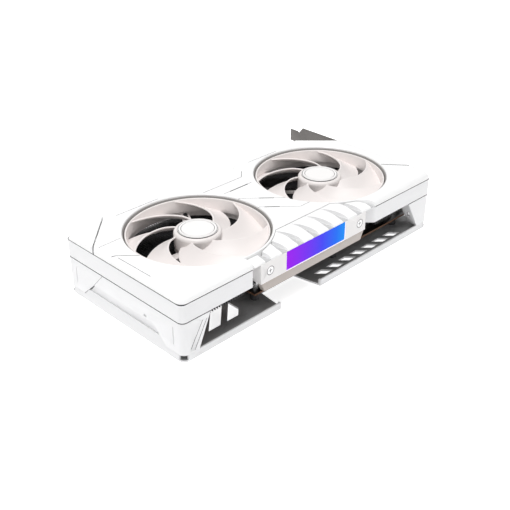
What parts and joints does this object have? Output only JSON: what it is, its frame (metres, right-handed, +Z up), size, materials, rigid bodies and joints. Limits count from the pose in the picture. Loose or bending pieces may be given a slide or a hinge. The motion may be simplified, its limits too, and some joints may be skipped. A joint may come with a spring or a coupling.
{
  "type": "graphics card",
  "caption": "Long white graphics card with a pair of swept-blade fans in a rounded shroud, a lit edge bar, a vented backplate, a slot bracket and an edge connector.",
  "frame": {"origin": "centre of the card's overall footprint, at the height of the backplate's underside", "axes": "+X along the card from the tail to the slot bracket, +Y from the lit edge to the edge connector, +Z up to the fans"},
  "size_m": [0.2626, 0.146, 0.0466],
  "materials": {
    "panel_white": "white shroud plastic, satin",
    "band_white": "pale grey-white shroud plastic, satin",
    "fan_white": "warm white fan plastic",
    "cap_white": "glossy white cap",
    "plate_silver": "painted aluminium sheet",
    "diffuser": "lit translucent plastic, violet to blue",
    "trim_beige": "grey-beige plastic",
    "fin_metal": "dark aluminium fins",
    "copper": "nickel-plated copper",
    "plate_copper": "machined copper",
    "board_black": "dark solder mask",
    "board_green": "green solder mask",
    "chip_black": "moulded package",
    "die_grey": "polished silicon",
    "choke_grey": "ferrite",
    "can_silver": "aluminium can",
    "gold": "gold plating",
    "socket_black": "black nylon",
    "header_white": "white nylon",
    "lead_black": "insulated flat lead",
    "bracket_dark": "dark plated steel sheet",
    "steel": "nickel-plated steel",
    "pad_grey": "soft thermal pad",
    "bearing": "sintered bronze",
    "magnet": "bonded magnet",
    "winding": "enamelled windings on laminations",
    "led_pale": "LED package"
  },
  "bodies": {
    "card": {"top_panel": "panel_white", "tail_corner_cap": "panel_white", "side_band": "band_white", "tail_cover": "band_white", "rear_corner_leg": "band_white", "bracket_end_leg": "band_white", "backplate": "plate_silver", "ribbed_cover": "panel_white", "light_housing": "panel_white", "light_diffuser": "diffuser", "light_board": "board_green", "light_leds": "led_pale", "lower_trim": "trim_beige", "light_screws": "steel", "tail_fan_frame": "fan_white", "bracket_fan_frame": "fan_white", "tail_fan_stator": "winding", "bracket_fan_stator": "winding", "tail_fan_bearing": "bearing", "bracket_fan_bearing": "bearing", "tail_fan_board": "board_green", "bracket_fan_board": "board_green", "fin_stack": "fin_metal", "heat_pipes": "copper", "cold_plate": "plate_copper", "regulator_plate": "can_silver", "thermal_pads": "pad_grey", "thermal_paste": "pad_grey", "circuit_board": "board_black", "chip_carrier": "board_green", "chip_die": "die_grey", "memory_chips": "chip_black", "power_chokes": "choke_grey", "power_stages": "chip_black", "capacitors": "can_silver", "edge_contacts": "gold", "power_socket": "socket_black", "power_pins": "gold", "fan_headers": "header_white", "fan_leads": "lead_black", "io_bracket": "bracket_dark", "display_sockets": "steel", "wide_socket": "steel", "socket_tongues": "socket_black", "bracket_screws": "steel", "backplate_screws": "steel", "backplate_spacers": "choke_grey", "cooler_standoffs": "steel", "retention_plate": "bracket_dark", "retention_screws": "steel"},
    "tail_fan": {"tail_fan_rotor": "fan_white", "tail_fan_cap": "cap_white", "tail_fan_magnet": "magnet", "tail_fan_shaft": "steel"},
    "bracket_fan": {"bracket_fan_rotor": "fan_white", "bracket_fan_cap": "cap_white", "bracket_fan_magnet": "magnet", "bracket_fan_shaft": "steel"}
  },
  "joints": [
    {"name": "tail_fan_spin", "type": "hinge", "parent": "card", "child": "tail_fan", "pos_m": [-0.06592, -0.0141, 0.04], "axis": [0, 0, 1], "continuous": true},
    {"name": "bracket_fan_spin", "type": "hinge", "parent": "card", "child": "bracket_fan", "pos_m": [0.05708, -0.0141, 0.04], "axis": [0, 0, 1], "continuous": true}
  ]
}
